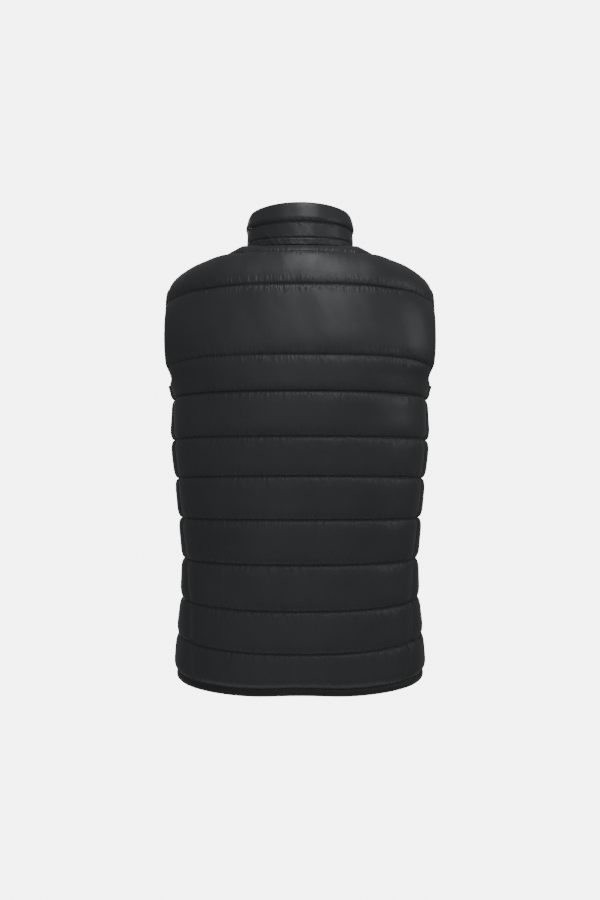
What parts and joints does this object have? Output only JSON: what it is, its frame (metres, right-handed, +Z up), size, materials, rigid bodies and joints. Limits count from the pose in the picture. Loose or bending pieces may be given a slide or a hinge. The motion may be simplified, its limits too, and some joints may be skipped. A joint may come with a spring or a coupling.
{
  "type": "quilted puffer vest",
  "caption": "Sleeveless padded vest with horizontal quilting, stand collar, bound armholes and hem, and a full front zip, filled out as when worn.",
  "frame": {"origin": "centre of the neck opening at the height of the neck points, where the wearer's shoulders hold the vest", "axes": "+Z up, -Y out of the front, +X towards the wearer's left"},
  "size_m": [0.4166, 0.2656, 0.7213],
  "materials": {
    "quilted_shell": "soft-sheen woven nylon over a light filling",
    "binding": "folded woven binding, slightly duller than the shell",
    "zip_tape": "fine woven tape",
    "zip_teeth": "satin moulded plastic",
    "zip_hardware": "black lacquer"
  },
  "bodies": {
    "vest": {"back_panel": "quilted_shell", "front_left_panel": "quilted_shell", "front_right_panel": "quilted_shell", "collar": "quilted_shell", "armhole_binding_left": "binding", "armhole_binding_right": "binding", "hem_binding": "binding", "zip_tape_left": "zip_tape", "zip_tape_right": "zip_tape", "zip_chain": "zip_teeth", "zip_box": "zip_hardware", "zip_slider": "zip_hardware"},
    "pull": {"zip_pull": "zip_hardware"}
  },
  "joints": [
    {"name": "zip_pull_hinge", "type": "hinge", "parent": "vest", "child": "pull", "pos_m": [0, -0.09745, -0.0392], "axis": [-1, 0, 0], "range_deg": [0, 170]}
  ]
}
